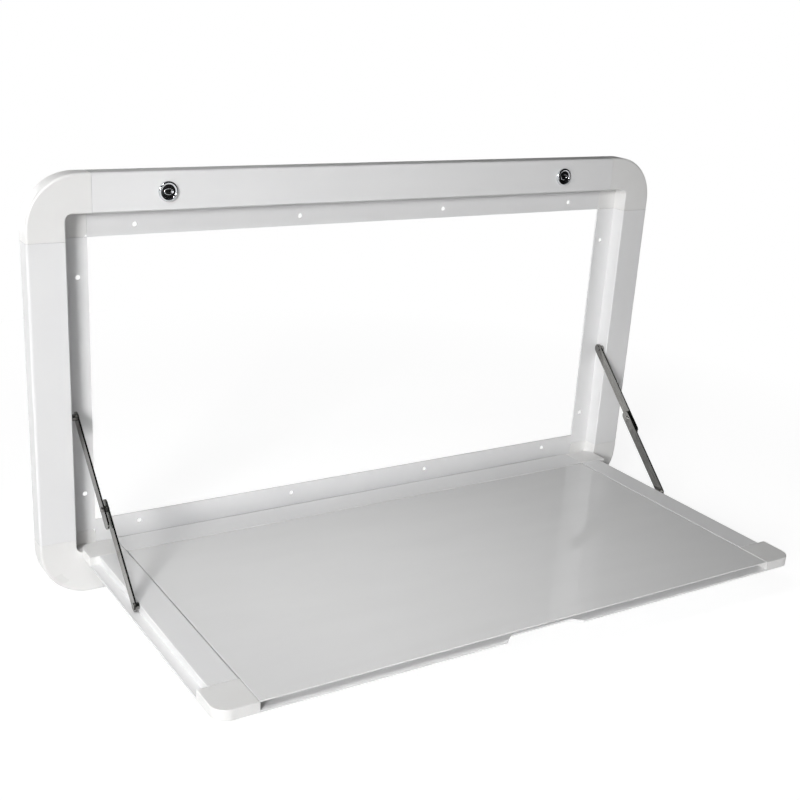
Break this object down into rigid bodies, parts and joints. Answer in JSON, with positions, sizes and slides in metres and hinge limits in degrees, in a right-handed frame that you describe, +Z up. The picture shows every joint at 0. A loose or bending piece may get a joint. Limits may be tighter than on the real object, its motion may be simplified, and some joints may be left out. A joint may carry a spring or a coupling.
{
  "type": "caravan folding table",
  "caption": "Fold-down caravan picnic table: flanged wall frame with key locks, drop leaf on a piano hinge, held level by folding steel stays.",
  "frame": {"origin": "middle of the frame's opening, on the wall plane behind the screw lips", "axes": "+X along the frame to the right as seen from the front, +Y into the wall, +Z up"},
  "size_m": [0.887, 0.4145, 0.4995],
  "materials": {
    "powder_coat": "gloss white powder coat on aluminium",
    "corner_moulding": "moulded white ABS, satin gloss",
    "panel_board": "high-gloss white sheet",
    "stay_steel": "bright zinc-plated steel strip",
    "hinge_steel": "rolled stainless steel",
    "lock_chrome": "polished chrome",
    "lock_plug": "black key plug",
    "lock_zinc": "zinc-plated pressed steel"
  },
  "bodies": {
    "frame": {"frame_top_rail": "powder_coat", "frame_bottom_rail": "powder_coat", "frame_side_rail_left": "powder_coat", "frame_corner_top_left": "corner_moulding", "frame_corner_bottom_left": "corner_moulding", "lock_housing_left": "lock_chrome", "lock_nut_left": "lock_zinc", "stay_frame_stud_left": "stay_steel", "frame_side_rail_right": "powder_coat", "frame_corner_top_right": "corner_moulding", "frame_corner_bottom_right": "corner_moulding", "lock_housing_right": "lock_chrome", "lock_nut_right": "lock_zinc", "stay_frame_stud_right": "stay_steel", "hinge_frame_leaf": "hinge_steel", "hinge_pin": "hinge_steel", "hinge_frame_rivets": "hinge_steel"},
    "table": {"table_panel": "panel_board", "table_rear_rail": "powder_coat", "table_front_rail": "powder_coat", "table_side_rail_left": "powder_coat", "table_front_corner_left": "corner_moulding", "table_rear_corner_left": "corner_moulding", "stay_table_stud_left": "stay_steel", "table_side_rail_right": "powder_coat", "table_front_corner_right": "corner_moulding", "table_rear_corner_right": "corner_moulding", "stay_table_stud_right": "stay_steel", "hinge_table_leaf": "hinge_steel", "hinge_table_rivets": "hinge_steel"},
    "upper_arm_left": {"stay_upper_arm_left": "stay_steel", "stay_knee_rivet_left": "stay_steel"},
    "lower_arm_left": {"stay_lower_arm_left": "stay_steel", "stay_knee_button_left": "stay_steel"},
    "lock_left": {"lock_plug_left": "lock_plug", "lock_cam_left": "lock_zinc", "lock_cam_screw_left": "lock_zinc"},
    "upper_arm_right": {"stay_upper_arm_right": "stay_steel", "stay_knee_rivet_right": "stay_steel"},
    "lower_arm_right": {"stay_lower_arm_right": "stay_steel", "stay_knee_button_right": "stay_steel"},
    "lock_right": {"lock_plug_right": "lock_plug", "lock_cam_right": "lock_zinc", "lock_cam_screw_right": "lock_zinc"}
  },
  "joints": [
    {"name": "table_fold", "type": "hinge", "parent": "frame", "child": "table", "pos_m": [0, -0.01595, -0.19915], "axis": [-1, 0, 0], "range_deg": [0, 90]},
    {"name": "upper_arm_left_swing", "type": "hinge", "parent": "frame", "child": "upper_arm_left", "pos_m": [-0.3926, -0.0137, -0.03355], "axis": [-1, 0, 0], "range_deg": [0, 135]},
    {"name": "lower_arm_left_swing", "type": "hinge", "parent": "table", "child": "lower_arm_left", "pos_m": [-0.388, -0.18155, -0.1969], "axis": [1, 0, 0], "range_deg": [0, 135]},
    {"name": "lock_left_turn", "type": "hinge", "parent": "frame", "child": "lock_left", "pos_m": [-0.283, -0.023, 0.2225], "axis": [0, 1, 0], "range_deg": [0, 90]},
    {"name": "upper_arm_right_swing", "type": "hinge", "parent": "frame", "child": "upper_arm_right", "pos_m": [0.3926, -0.0137, -0.03355], "axis": [-1, 0, 0], "range_deg": [0, 135]},
    {"name": "lower_arm_right_swing", "type": "hinge", "parent": "table", "child": "lower_arm_right", "pos_m": [0.388, -0.18155, -0.1969], "axis": [1, 0, 0], "range_deg": [0, 135]},
    {"name": "lock_right_turn", "type": "hinge", "parent": "frame", "child": "lock_right", "pos_m": [0.283, -0.023, 0.2225], "axis": [0, -1, 0], "range_deg": [0, 90]}
  ],
  "couplings": [
    {"joint": "upper_arm_left_swing", "follows": "table_fold", "ratio": 1.5},
    {"joint": "lower_arm_left_swing", "follows": "table_fold", "ratio": 1.5},
    {"joint": "upper_arm_right_swing", "follows": "table_fold", "ratio": 1.5},
    {"joint": "lower_arm_right_swing", "follows": "table_fold", "ratio": 1.5}
  ]
}
